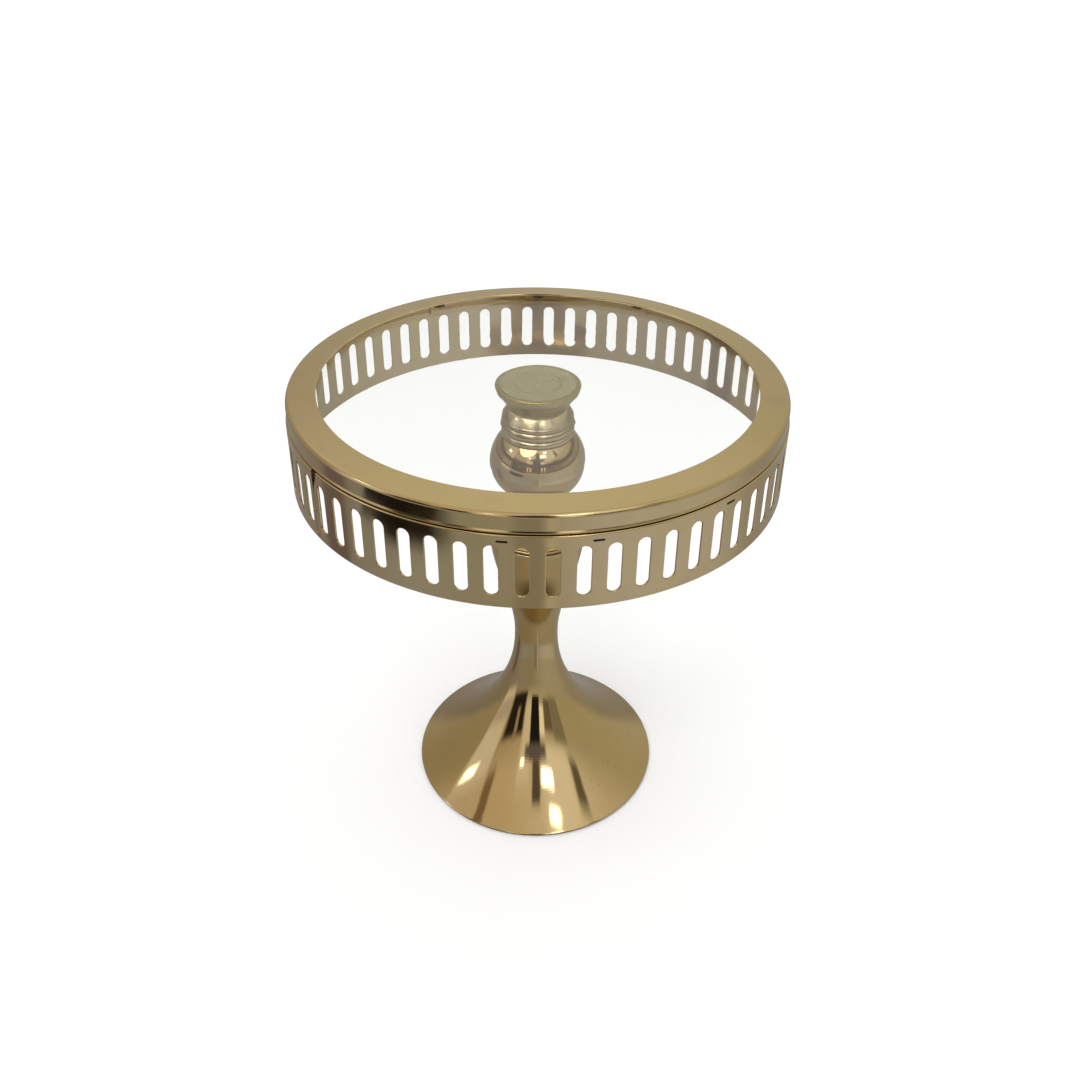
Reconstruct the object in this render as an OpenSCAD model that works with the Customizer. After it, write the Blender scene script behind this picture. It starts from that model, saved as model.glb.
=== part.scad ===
// Pedestal cake stand: a clear glass plate under a pressed metal rim with a
// slotted gallery, carried by a turned stem on a hollow trumpet foot.
// Millimetres, +Z up. The origin is the middle of the footprint, on the table.

/* [Overall] */
// Height from the table to the outer shoulder of the rim
stand_h = 262; // [235:1:320]
// Outside diameter of the rim
rim_d = 250; // [230:1:300]

/* [Rim] */
// Width of the flat flange that overlaps the glass
flange_w = 15; // [10:0.5:20]
// How much higher the inner edge of the flange is than its outer edge
flange_rise = 1.0; // [0.4:0.1:1.6]
// Rounding between the flange and the upright band
shoulder_r = 2.3; // [1.6:0.1:3]
// Height of the upright band, down to the bottom of its bead
band_h = 10; // [8:0.5:14]
// Thickness of the pressed rim
rim_t = 1.2; // [0.8:0.1:1.4]
// How far the rolled bead at the bottom of the band stands out
bead_out = 0.35; // [0.2:0.05:0.6]

/* [Glass] */
// Thickness of the glass plate
glass_t = 4; // [3:0.5:5]
// Gap between the edge of the glass and the inside of the band
glass_gap = 1.3; // [0.8:0.1:2]

/* [Gallery] */
// Number of slots round the gallery
slot_n = 60; // [40:2:64]
// Width of one slot
slot_w = 6.2; // [4:0.1:6.6]
// Length of one slot, end to end
slot_l = 25.2; // [16:0.2:26]
// Turn of the first slot from the front of the stand
slot_turn = -2.74; // [-6:0.01:6]
// Height of the gallery below the bead
gallery_h = 37.3; // [34:0.1:44]
// How far the gallery stands out from the rim just below the bead
skirt_out = 0.8; // [0.4:0.1:1.4]
// How far the bottom edge of the gallery flares out beyond its top
gallery_flare = 0.7; // [0.3:0.1:1.5]
// Thickness of the gallery strip
strip_t = 1.0; // [0.8:0.1:1.2]
// Direction of the seam of the strip, from the front of the stand
seam_turn = -54.0; // [-90:0.1:-20]

/* [Glass clips] */
// Directions of the clips under the glass, from the front of the stand
clip_turn = [-6.5, 11.9, 42.2, 96.2, 150.2, 180.2, 210.2, 264.2];
// Width of a clip
clip_w = 6; // [4:0.5:6]
// Reach of a clip under the glass
clip_reach = 9; // [6:0.5:12]

/* [Pedestal] */
// Diameter of the foot
foot_d = 146.8; // [120:0.2:180]
// Diameter of the narrowest part of the neck
neck_d = 25.4; // [22:0.2:34]
// Height of the narrowest part of the neck
neck_z = 99; // [90:1:110]
// Power of the trumpet curve, higher is a slimmer neck
flare_power = 2.24; // [1.9:0.02:2.6]
// Diameter of the tulip at the top of the pedestal
tulip_d = 52.4; // [46:0.2:60]
// Height of the top of the pedestal
tulip_z = 169.5; // [160:0.5:180]
// Wall of the pedestal casting
wall = 1.8; // [1.4:0.1:2.2]

/* [Stem] */
// Diameter of the bulb
bulb_d = 50.6; // [46:0.2:56]
// Height of the bulb, if it were a whole egg shape
bulb_h = 46; // [42:0.5:50]
// Diameter of the waist between the bulb and the pedestal
waist_d = 27; // [24:0.5:34]
// Diameter of the grooved collar
collar_d = 38.6; // [34:0.2:44]
// Diameter of the throat below the top disc
throat_d = 30.2; // [24:0.2:34]
// Diameter of the disc that carries the glass
disc_d = 43.8; // [38:0.2:60]

/* [Tie rod] */
// Diameter of the threaded rod through the stem
rod_d = 8; // [6:1:8]
// Width across flats of the nut
nut_af = 13; // [10:0.5:13]

/* [Hidden] */
eps = 0.02;
RF = 180;
rim_r = rim_d / 2;
flange_r = rim_r - flange_w;
band_in = rim_r - rim_t;
band_z = stand_h - band_h;
shoulder_in = rim_r - shoulder_r;
flange_pitch = flange_rise / (shoulder_in - flange_r);
// glass: its top clears the lowest point of the flange's underside
glass_z1 = stand_h - rim_t - 0.2;
glass_z0 = glass_z1 - glass_t;
glass_r = band_in - glass_gap;
// gallery strip: an upright collar inside the band, a joggle under the bead, then a skirt
strip_top = glass_z0 - 1.0;
strip_bot = band_z - gallery_h;
strip_r = band_in - 0.1;
slot_z = band_z - gallery_h / 2 + 0.1;
ledge_z = band_z - 0.35;
function strip_out(z) = z >= ledge_z ? strip_r
    : rim_r + skirt_out + gallery_flare * (band_z - z) / gallery_h;
slit_z = band_z - 3.5;
clip_t = 0.8;
// pedestal
foot_r = foot_d / 2;
neck_r = neck_d / 2;
tulip_r = tulip_d / 2;
foot_z = 0.8;
lip_z = 2.0;
function ease(t) = t * t * (3 - 2 * t);
function ped_r(z) = z < neck_z
    ? neck_r + (foot_r - 0.35 - neck_r) * pow((neck_z - z) / (neck_z - lip_z), flare_power)
    : neck_r + (tulip_r - neck_r) * ease((z - neck_z) / (tulip_z - neck_z));
function ped_slope(z) = (ped_r(z + 0.05) - ped_r(z - 0.05)) / 0.1;
function ped_in(z) = ped_r(z) - wall * sqrt(1 + pow(ped_slope(z), 2));
plate_t = 2.5;
plate_r = tulip_r - wall - 0.2;
// stem, from the gasket upwards
gasket_t = 0.8;
stem_z = tulip_z + gasket_t;
disc_z = glass_z0 - 0.3;
bulb_r = bulb_d / 2;
bulb_z = disc_z - 43.6;
bulb_top = disc_z - 28.1;
bulb_low = bulb_z - 16.5;
waist_r = waist_d / 2;
waist_z = bulb_low - 6.5;
flange_top = stem_z + 1.3;
collar_r = collar_d / 2;
collar_top = disc_z - 12.4;
throat_r = throat_d / 2;
function egg_r(z) = bulb_r * sqrt(1 - pow((z - bulb_z) / (bulb_h / 2), 2));
bore_r = rod_d / 2 + 0.25;
// hardware inside the foot
cup_z = 66;
cup_t = 2;
rod_z0 = cup_z - 18;
rod_z1 = disc_z - 5;

// a closed outline turned round the axis
module turned(points) { rotate_extrude($fn = RF) polygon(points); }
// points of an arc in the radius-height plane
function arc(cx, cz, r, a0, a1, n) =
    [for (i = [0:n]) let (a = a0 + (a1 - a0) * i / n) [cx + r * cos(a), cz + r * sin(a)]];
// turns its child so that +X points outwards at an angle from the front
module facing(a) { rotate([0, 0, a - 90]) children(); }

module pedestal_shell() {
    n = 36;
    m = 26;
    top_in = ped_in(tulip_z - 1);
    color("goldenrod") turned(concat(
        [[foot_r - 3.4, foot_z], [foot_r - 0.5, foot_z]],
        arc(foot_r - 0.6, foot_z + 0.6, 0.6, -60, 45, 5),
        [for (i = [0:n]) let (z = lip_z + (neck_z - lip_z) * pow(i / n, 1.35)) [ped_r(z), z]],
        [for (i = [1:m]) let (z = neck_z + (tulip_z - 0.5 - neck_z) * i / m) [ped_r(z), z]],
        [[tulip_r - 0.4, tulip_z], [plate_r + 0.1, tulip_z],
         [plate_r + 0.1, tulip_z - plate_t], [plate_r - 2.5, tulip_z - plate_t],
         [plate_r - 2.5, tulip_z - plate_t - 2]],
        [for (i = [m - 3:-1:1]) let (z = neck_z + (tulip_z - neck_z) * i / m) [ped_in(z), z]],
        [for (i = [n:-1:1]) let (z = lip_z + (neck_z - lip_z) * pow(i / n, 1.35)) [ped_in(z), z]]
    ));
}

module foot_grip_ring() {
    color("dimgray") turned([[foot_r - 3.0, 0.15], [foot_r - 2.8, 0], [foot_r - 0.9, 0],
        [foot_r - 0.7, 0.15], [foot_r - 0.7, foot_z], [foot_r - 3.0, foot_z]]);
}

// dished steel washer that bears on the inside of the neck flare
module clamp_cup() {
    r = ped_in(cup_z + cup_t) - 0.15;
    color("silver") turned([[bore_r, cup_z - 4], [r * 0.55, cup_z - 4], [r, cup_z - 1],
        [r, cup_z + 0.6], [r - 0.8, cup_z + cup_t - 0.6], [r * 0.55, cup_z - 4 + cup_t], [bore_r, cup_z - 4 + cup_t]]);
}

module flat_washer() {
    color("silver") translate([0, 0, cup_z - 5.6]) difference() {
        cylinder(d = rod_d * 2, h = 1.6, $fn = 72);
        translate([0, 0, -1]) cylinder(r = bore_r, h = 4, $fn = 72);
    }
}

// split ring, cut through with a slanting gap
module spring_washer() {
    color("gray") translate([0, 0, cup_z - 7.8]) difference() {
        cylinder(d = rod_d * 1.8, h = 2.2, $fn = 72);
        translate([0, 0, -1]) cylinder(r = bore_r, h = 5, $fn = 72);
        translate([rod_d * 0.7, 0, 1.1]) rotate([20, 0, 0]) cube([rod_d, 1.2, 6], center = true);
    }
}

module hex_nut() {
    nut_h = rod_d * 0.8;
    color("silver") translate([0, 0, cup_z - 7.8 - nut_h]) difference() {
        intersection() {
            cylinder(d = nut_af / cos(30), h = nut_h, $fn = 6);
            turned([[0, 0], [nut_af / 2, 0], [nut_af / 2 + 1.2, 0.7],
                [nut_af / 2 + 1.2, nut_h - 0.7], [nut_af / 2, nut_h], [0, nut_h]]);
        }
        translate([0, 0, -1]) cylinder(r = rod_d / 2 + 0.05, h = nut_h + 2, $fn = 72);
    }
}

module tie_rod() {
    r = rod_d / 2;
    color("silver") turned([[0, rod_z0], [r - 0.8, rod_z0], [r, rod_z0 + 0.8],
        [r, rod_z1 - 0.8], [r - 0.8, rod_z1], [0, rod_z1]]);
}

// flat plate let into the top of the tulip
module tulip_plate() {
    color("silver") translate([0, 0, tulip_z - plate_t]) difference() {
        cylinder(r = plate_r, h = plate_t, $fn = RF);
        translate([0, 0, -1]) cylinder(r = bore_r, h = plate_t + 2, $fn = 72);
    }
}

module stem_gasket() {
    color("black") translate([0, 0, tulip_z]) difference() {
        cylinder(r = tulip_r - 0.7, h = gasket_t, $fn = RF);
        translate([0, 0, -1]) cylinder(r = bore_r + 4, h = gasket_t + 2, $fn = 72);
    }
}

// turned casting: base flange, waist and egg-shaped bulb
module bulb() {
    n = 20;
    m = 22;
    color("goldenrod") difference() {
        turned(concat(
            [[0, stem_z], [tulip_r - 0.6, stem_z]],
            arc(tulip_r - 0.9, stem_z + 0.65, 0.65, -50, 80, 6),
            // cove between the flange and the waist
            [for (i = [0:n]) let (t = i / n) [
                waist_r + (tulip_r - 1.6 - waist_r) * pow(1 - t, 3.2), flange_top + (waist_z - flange_top) * t]],
            // blend from the waist into the bulb
            [for (i = [1:6]) let (t = i / 7) [
                waist_r + (egg_r(bulb_low) - waist_r) * pow(t, 2), waist_z + (bulb_low - waist_z) * t]],
            [for (i = [0:m]) let (z = bulb_low + (bulb_top - bulb_low) * i / m) [egg_r(z), z]],
            [[collar_r - 2, bulb_top], [0, bulb_top]]
        ));
        translate([0, 0, stem_z - 1]) cylinder(r = bore_r, h = bulb_top - stem_z + 2, $fn = 72);
        // cored pocket in the base flange
        translate([0, 0, stem_z - 1]) cylinder(r = waist_r - 4, h = 9, $fn = 90);
    }
}

// convex band between two heights: bulging from r - d at its edges to r
function bead(za, zb, r, d, n) =
    [for (i = [0:n]) let (t = i / n) [r - d * pow(abs(2 * t - 1), 2.2), za + (zb - za) * t]];

// spool with three rolled beads and a conical shoulder
module grooved_collar() {
    z0 = bulb_top;
    h = collar_top - z0;
    c = collar_r;
    color("goldenrod") difference() {
        turned(concat(
            [[0, z0], [c - 1.0, z0]],
            bead(z0 + 0.15, z0 + 3.5, c - 0.15, 0.8, 8),
            bead(z0 + 3.7, z0 + 8.2, c, 1.0, 10),
            bead(z0 + 8.4, z0 + 11.0, c - 0.6, 0.6, 6),
            [[c - 1.25, z0 + 11.2], [c - 1.05, z0 + 11.35]],
            [for (i = [0:10]) let (t = i / 10) [
                throat_r + 0.1 + (c - 0.95 - throat_r - 0.1) * pow(1 - t, 0.8), z0 + 11.5 + (h - 11.5) * t]],
            [[0, z0 + h]]
        ));
        translate([0, 0, z0 - 1]) cylinder(r = bore_r, h = h + 2, $fn = 72);
    }
}

// flaring cap with the flat disc that carries the glass, tapped from below
module disc_cap() {
    z0 = collar_top;
    h = disc_z - z0;
    R = disc_d / 2;
    color("goldenrod") difference() {
        turned(concat(
            [[0, z0], [throat_r - 0.3, z0], [throat_r, z0 + 0.25]],
            [for (i = [0:8]) let (t = i / 8) [
                throat_r + 0.1 * sin(90 * t) + (R - 1.6 - throat_r - 0.1) * t, z0 + 0.6 + (h - 4.9) * t]],
            [[R - 1.8, disc_z - 4.1], [R - 1.8, disc_z - 3.95], [R - 0.9, disc_z - 3.7]],
            [[R - 0.15, disc_z - 1.3]],
            arc(R - 0.6, disc_z - 0.6, 0.6, -15, 90, 6),
            // shallow turning grooves on the face
            [[R * 0.91, disc_z], [R * 0.90, disc_z - 0.25], [R * 0.88, disc_z - 0.25], [R * 0.87, disc_z],
             [R * 0.56, disc_z], [R * 0.55, disc_z - 0.25], [R * 0.53, disc_z - 0.25], [R * 0.52, disc_z],
             [0, disc_z]]
        ));
        translate([0, 0, z0 - 1]) cylinder(r = rod_d / 2 + 0.05, h = rod_z1 - z0 + 2, $fn = 72);
    }
}

module glass_bond() {
    color("gainsboro", 0.5) translate([0, 0, disc_z]) cylinder(r = disc_d / 2 - 1.5, h = glass_z0 - disc_z, $fn = RF);
}

module glass_top() {
    c = 0.6;
    color("lightcyan", 0.4) turned([[0, glass_z0], [glass_r - c, glass_z0], [glass_r, glass_z0 + c],
        [glass_r, glass_z1 - c], [glass_r - c, glass_z1], [0, glass_z1]]);
}

module rim_ring() {
    br = 0.7;
    bz = band_z + br;
    bx = rim_r + bead_out - br;
    color("goldenrod") turned(concat(
        // inner edge of the flange, rounded over the sheet's thickness
        arc(flange_r + rim_t / 2, stand_h + flange_rise - rim_t / 2, rim_t / 2, 270, 90, 8),
        arc(shoulder_in, stand_h - shoulder_r, shoulder_r, 88, 0, 14),
        [[rim_r, bz + 0.9]],
        arc(bx, bz, br, 65, -90, 10),
        [[band_in + 0.2, band_z], [band_in, band_z + 0.2], [band_in, stand_h - shoulder_r]],
        arc(shoulder_in, stand_h - shoulder_r, shoulder_r - rim_t, 0, 86, 8)
    ));
}

// clear bead that fills the wedge between the flange and the glass
module rim_seal() {
    a = flange_r + 2.5;
    b = shoulder_in - 1.6;
    function under(r) = stand_h - rim_t + flange_pitch * (shoulder_in - r) - 0.03;
    color("gainsboro", 0.6) turned([[a + 0.3, glass_z1], [b, glass_z1], [b, under(b)], [a, under(a)], [a, glass_z1 + 0.3]]);
}

// a slot standing upright, cut outwards through the strip
module slot_tool() {
    c = (slot_l - slot_w) / 2;
    translate([strip_r - 6, 0, slot_z]) {
        translate([0, -slot_w / 2, -c]) cube([12, slot_w, 2 * c]);
        for (s = [-1, 1]) translate([0, 0, s * c]) rotate([0, 90, 0]) cylinder(d = slot_w, h = 12, $fn = 48);
    }
}

// rolled strip: 60 slots, a seam that gapes towards the top, slits for the clips
module gallery_band() {
    rb = strip_out(strip_bot);
    rt = rim_r + skirt_out;
    under = ledge_z - strip_t;
    color("goldenrod") difference() {
        turned(concat([[rb - strip_t, strip_bot + 0.25], [rb - strip_t + 0.25, strip_bot], [rb - 0.25, strip_bot],
            [rb, strip_bot + 0.25]],
            arc(rt - 0.6, ledge_z - 0.6, 0.6, 0, 90, 6),
            [[strip_r, ledge_z], [strip_r, strip_top], [strip_r - strip_t, strip_top], [strip_r - strip_t, under],
            [rt - strip_t - 0.3, under], [rt - strip_t, under - 0.3]]));
        for (k = [0:slot_n - 1]) facing(slot_turn + 360 / slot_n * k) slot_tool();
        for (a = clip_turn) facing(a) translate([strip_r - 3, -2.6, slit_z - 0.45]) cube([9, 5.2, 0.9]);
        // seam
        facing(seam_turn) translate([strip_r - 6, 0, 0]) rotate([90, 0, 90]) linear_extrude(height = 14)
            polygon([[-0.2, strip_bot - 1], [0.2, strip_bot - 1], [0.4, slot_z + 4], [0.9, band_z - 10],
                [2.1, band_z - 6.5], [4.0, band_z - 3], [4.4, band_z - 1], [4.4, strip_top + 1], [0.1, strip_top + 1], [0.1, slot_z + 4]]);
        facing(seam_turn) for (z = [strip_bot + 2.6, strip_bot + 15.5])
            translate([strip_r - 4, 0, z]) rotate([0, 90, 0]) cylinder(r = 1.05, h = 10, $fn = 36);
    }
}

// thin strap behind the seam
module seam_strap() {
    zb = strip_bot + 0.8;
    zt = band_z - 1.42;
    ri = strip_out(zb) - strip_t;
    ro = strip_out(zt) - strip_t;
    color("saddlebrown") difference() {
        facing(seam_turn - 1.0) rotate_extrude(angle = 2.3, $fn = RF)
            polygon([[ri - 0.8, zb], [ri - 0.02, zb], [ro - 0.02, zt], [ro - 0.8, zt]]);
        facing(seam_turn) for (z = [strip_bot + 2.6, strip_bot + 15.5])
            translate([strip_r - 4, 0, z]) rotate([0, 90, 0]) cylinder(r = 1.05, h = 10, $fn = 36);
    }
}

// dome-headed pins closed over the seam
module seam_rivets() {
    color("lightgoldenrodyellow") facing(seam_turn) for (z = [strip_bot + 2.6, strip_bot + 15.5]) {
        x = strip_out(z);
        translate([x - strip_t - 1.2, 0, z]) rotate([0, 90, 0]) rotate_extrude($fn = 36)
            polygon(concat([[0, -0.3], [1.5, -0.3], [1.7, 0], [1.7, 0.25], [1.0, 0.25], [1.0, strip_t + 1.3], [1.25, strip_t + 1.3]],
                [for (i = [0:5]) [1.25 * cos(i * 18), strip_t + 1.3 + 0.5 * sin(i * 18)]]));
    }
}

// bent sheet clips: a leg down the strip, hooked through its slit, and a leg under the glass
module glass_clips() {
    xo = strip_r - strip_t - 0.1;
    color("goldenrod") for (a = clip_turn) facing(a) {
        translate([xo - clip_t, -clip_w / 2, slit_z - 0.4]) cube([clip_t, clip_w, glass_z0 - slit_z + 0.4]);
        translate([xo - clip_reach, -clip_w / 2, glass_z0 - clip_t]) cube([clip_reach - clip_t + eps, clip_w, clip_t]);
        translate([xo - eps, -2.3, slit_z - 0.4]) cube([strip_out(slit_z) + 0.3 - xo, 4.6, 0.8]);
    }
}

pedestal_shell();
foot_grip_ring();
clamp_cup();
flat_washer();
spring_washer();
hex_nut();
tie_rod();
tulip_plate();
stem_gasket();
bulb();
grooved_collar();
disc_cap();
glass_bond();
glass_top();
rim_ring();
rim_seal();
gallery_band();
seam_strap();
seam_rivets();
glass_clips();
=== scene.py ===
"""Looks of the pedestal cake stand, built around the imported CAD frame."""
import math
import random

import bpy
import bmesh
import numpy as np
from mathutils import Matrix, Vector


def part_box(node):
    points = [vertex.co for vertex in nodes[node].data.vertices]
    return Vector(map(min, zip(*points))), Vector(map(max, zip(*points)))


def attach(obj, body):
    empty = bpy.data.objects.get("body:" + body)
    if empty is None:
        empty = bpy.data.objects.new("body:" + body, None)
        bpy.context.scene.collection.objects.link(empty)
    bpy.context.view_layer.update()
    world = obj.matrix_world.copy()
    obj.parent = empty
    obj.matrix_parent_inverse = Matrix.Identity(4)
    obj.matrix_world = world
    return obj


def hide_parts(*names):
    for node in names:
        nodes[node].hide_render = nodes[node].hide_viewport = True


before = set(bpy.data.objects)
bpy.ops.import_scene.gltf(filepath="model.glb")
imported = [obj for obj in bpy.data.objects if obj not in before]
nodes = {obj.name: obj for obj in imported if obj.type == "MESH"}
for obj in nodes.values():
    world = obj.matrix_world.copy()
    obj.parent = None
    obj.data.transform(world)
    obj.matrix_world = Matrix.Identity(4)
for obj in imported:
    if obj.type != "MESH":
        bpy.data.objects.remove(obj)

random.seed(7)
MM = 0.001


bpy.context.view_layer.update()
scene = bpy.context.scene


def hi(node, axis=2):
    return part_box(node)[1][axis] / MM


def lo(node, axis=2):
    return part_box(node)[0][axis] / MM


# ------------------------------------------------------------------ dimensions, in mm, from the frame
BEAD_OUT = 0.35
RIM_R = hi("rim_ring", 0) - BEAD_OUT
BAND_Z = lo("rim_ring")
STAND_H = BAND_Z + 10.0
RIM_TOP = hi("rim_ring")
GLASS_Z0, GLASS_Z1, GLASS_R = lo("glass_top"), hi("glass_top"), hi("glass_top", 0)
STRIP_BOT, STRIP_TOP = lo("gallery_band"), hi("gallery_band")
DISC_Z = hi("disc_cap")
COLLAR_TOP = lo("disc_cap")
BULB_TOP = lo("grooved_collar")
STEM_Z = lo("bulb")
TULIP_Z = hi("pedestal_shell")
FOOT_R = hi("foot_grip_ring", 0) + 0.7
ROD_Z0, ROD_Z1 = lo("tie_rod"), hi("tie_rod")
TULIP_R, NECK_R, NECK_Z = 26.2, 12.7, 99.0
FOOT_Z, LIP_Z, WALL = 0.8, 2.0, 1.8
RIM_T, SHOULDER = 1.2, 2.3
FLANGE_R = RIM_R - 15.0
STRIP_T = 1.0
STRIP_R = RIM_R - RIM_T - 0.1
SKIRT_R = RIM_R + 0.8
FLARE = 0.66
GAL_H = BAND_Z - STRIP_BOT
SLOT_N, SLOT_W, SLOT_L, SLOT_TURN = 60, 6.2, 25.2, -2.74
SLOT_Z = BAND_Z - GAL_H / 2 + 0.1
LEDGE_Z = BAND_Z - 0.35
SEAM = -54.0
CLIPS = [-6.5, 11.9, 42.2, 96.2, 150.2, 180.2, 210.2, 264.2]
SLIT_Z = BAND_Z - 3.5


# ------------------------------------------------------------------ mesh helpers
def link(name, mesh, mat, replaces=()):
    ob = bpy.data.objects.new(name, mesh)
    scene.collection.objects.link(ob)
    mesh.materials.append(mat)
    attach(ob, "root")
    if replaces:
        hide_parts(*replaces)
    return ob


def finish_mesh(mesh, sharp=32.0):
    mesh.validate()
    bm = bmesh.new()
    bm.from_mesh(mesh)
    bmesh.ops.recalc_face_normals(bm, faces=bm.faces)
    bm.to_mesh(mesh)
    bm.free()
    mesh.shade_smooth()
    mesh.set_sharp_from_angle(angle=math.radians(sharp))
    mesh.update()
    return mesh


def arc(cx, cz, r, a0, a1, n):
    out = []
    for i in range(n + 1):
        a = math.radians(a0 + (a1 - a0) * i / n)
        out.append((cx + r * math.cos(a), cz + r * math.sin(a)))
    return out


def supports(points, closed=True, gap=0.07, longer=0.7):
    """Adds a point close to each end of every long straight stretch, so that a small rounding doesn't tilt the shading of the flat beside it."""
    out = []
    n = len(points)
    for i in range(n if closed else n - 1):
        a, b = points[i], points[(i + 1) % n]
        out.append(a)
        d = math.dist(a, b)
        if d > longer:
            for t in (gap / d, 1 - gap / d):
                out.append((a[0] + (b[0] - a[0]) * t, a[1] + (b[1] - a[1]) * t))
    if not closed:
        out.append(points[-1])
    return out


def turned(name, points, seg=240, sharp=32.0, support=True):
    """Closed outline of (radius, height) in mm turned round the Z axis. Points on the axis are shared."""
    clean = []
    for p in points:
        if not clean or math.dist(p, clean[-1]) > 1e-5:
            clean.append((max(p[0], 0.0), p[1]))
    if math.dist(clean[0], clean[-1]) < 1e-5:
        clean.pop()
    if support:
        clean = supports(clean)
    verts, rings = [], []
    for r, z in clean:
        if r < 1e-6:
            rings.append([len(verts)] * seg)
            verts.append((0.0, 0.0, z * MM))
        else:
            start = len(verts)
            rings.append(list(range(start, start + seg)))
            for k in range(seg):
                a = 2 * math.pi * k / seg
                verts.append((r * MM * math.cos(a), r * MM * math.sin(a), z * MM))
    faces = []
    n = len(rings)
    for i in range(n):
        a, b = rings[i], rings[(i + 1) % n]
        if a[0] == a[1] and b[0] == b[1]:
            continue
        for k in range(seg):
            q = [a[k], a[(k + 1) % seg], b[(k + 1) % seg], b[k]]
            f = []
            for v in q:
                if v not in f:
                    f.append(v)
            if len(f) > 2:
                faces.append(f)
    mesh = bpy.data.meshes.new(name)
    mesh.from_pydata(verts, [], faces)
    return finish_mesh(mesh, sharp)


# ------------------------------------------------------------------ material helpers
def material(name):
    m = bpy.data.materials.new(name)
    m.use_nodes = True
    nt = m.node_tree
    nt.nodes.clear()
    out = nt.nodes.new("ShaderNodeOutputMaterial")
    bsdf = nt.nodes.new("ShaderNodeBsdfPrincipled")
    nt.links.new(bsdf.outputs["BSDF"], out.inputs["Surface"])
    return m, nt, bsdf


def new(nt, kind, **values):
    n = nt.nodes.new(kind)
    for k, v in values.items():
        if hasattr(n, k) and k not in n.inputs:
            setattr(n, k, v)
        else:
            n.inputs[k].default_value = v
    return n


def noise(nt, vector, scale, detail=2.0, rough=0.5, lacun=2.0, distortion=0.0):
    n = new(nt, "ShaderNodeTexNoise", Scale=scale, Detail=detail, Roughness=rough, Lacunarity=lacun, Distortion=distortion)
    nt.links.new(vector, n.inputs["Vector"])
    return n.outputs["Fac"]


def ranged(nt, value, a, b, c, d, smooth=False):
    n = nt.nodes.new("ShaderNodeMapRange")
    n.inputs["From Min"].default_value = a
    n.inputs["From Max"].default_value = b
    n.inputs["To Min"].default_value = c
    n.inputs["To Max"].default_value = d
    n.clamp = True
    if smooth:
        n.interpolation_type = "SMOOTHSTEP"
    nt.links.new(value, n.inputs["Value"])
    return n.outputs["Result"]


def math2(nt, op, a, b=None):
    n = nt.nodes.new("ShaderNodeMath")
    n.operation = op
    for i, v in enumerate((a, b)):
        if v is None:
            continue
        if isinstance(v, (int, float)):
            n.inputs[i].default_value = v
        else:
            nt.links.new(v, n.inputs[i])
    return n.outputs[0]


def mix_colour(nt, fac, a, b, blend="MIX"):
    n = nt.nodes.new("ShaderNodeMix")
    n.data_type = "RGBA"
    n.blend_type = blend
    for idx, v in ((0, fac), (6, a), (7, b)):
        if isinstance(v, (int, float)):
            n.inputs[idx].default_value = v
        elif isinstance(v, (tuple, list)):
            n.inputs[idx].default_value = (*v, 1.0) if len(v) == 3 else v
        else:
            nt.links.new(v, n.inputs[idx])
    return n.outputs[2]


def srgb(r, g, b):
    def f(c):
        c /= 255.0
        return c / 12.92 if c <= 0.04045 else ((c + 0.055) / 1.055) ** 2.4
    return (f(r), f(g), f(b))


def round_coords(nt):
    """Coordinates that run round a turned piece: (radius, 0, height), in metres."""
    tc = nt.nodes.new("ShaderNodeTexCoord")
    sep = nt.nodes.new("ShaderNodeSeparateXYZ")
    nt.links.new(tc.outputs["Object"], sep.inputs[0])
    flat = nt.nodes.new("ShaderNodeCombineXYZ")
    nt.links.new(sep.outputs["X"], flat.inputs["X"])
    nt.links.new(sep.outputs["Y"], flat.inputs["Y"])
    length = nt.nodes.new("ShaderNodeVectorMath")
    length.operation = "LENGTH"
    nt.links.new(flat.outputs[0], length.inputs[0])
    comb = nt.nodes.new("ShaderNodeCombineXYZ")
    nt.links.new(length.outputs["Value"], comb.inputs["X"])
    nt.links.new(sep.outputs["Z"], comb.inputs["Z"])
    return tc.outputs["Object"], comb.outputs[0], sep.outputs["Z"], length.outputs["Value"]


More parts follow.
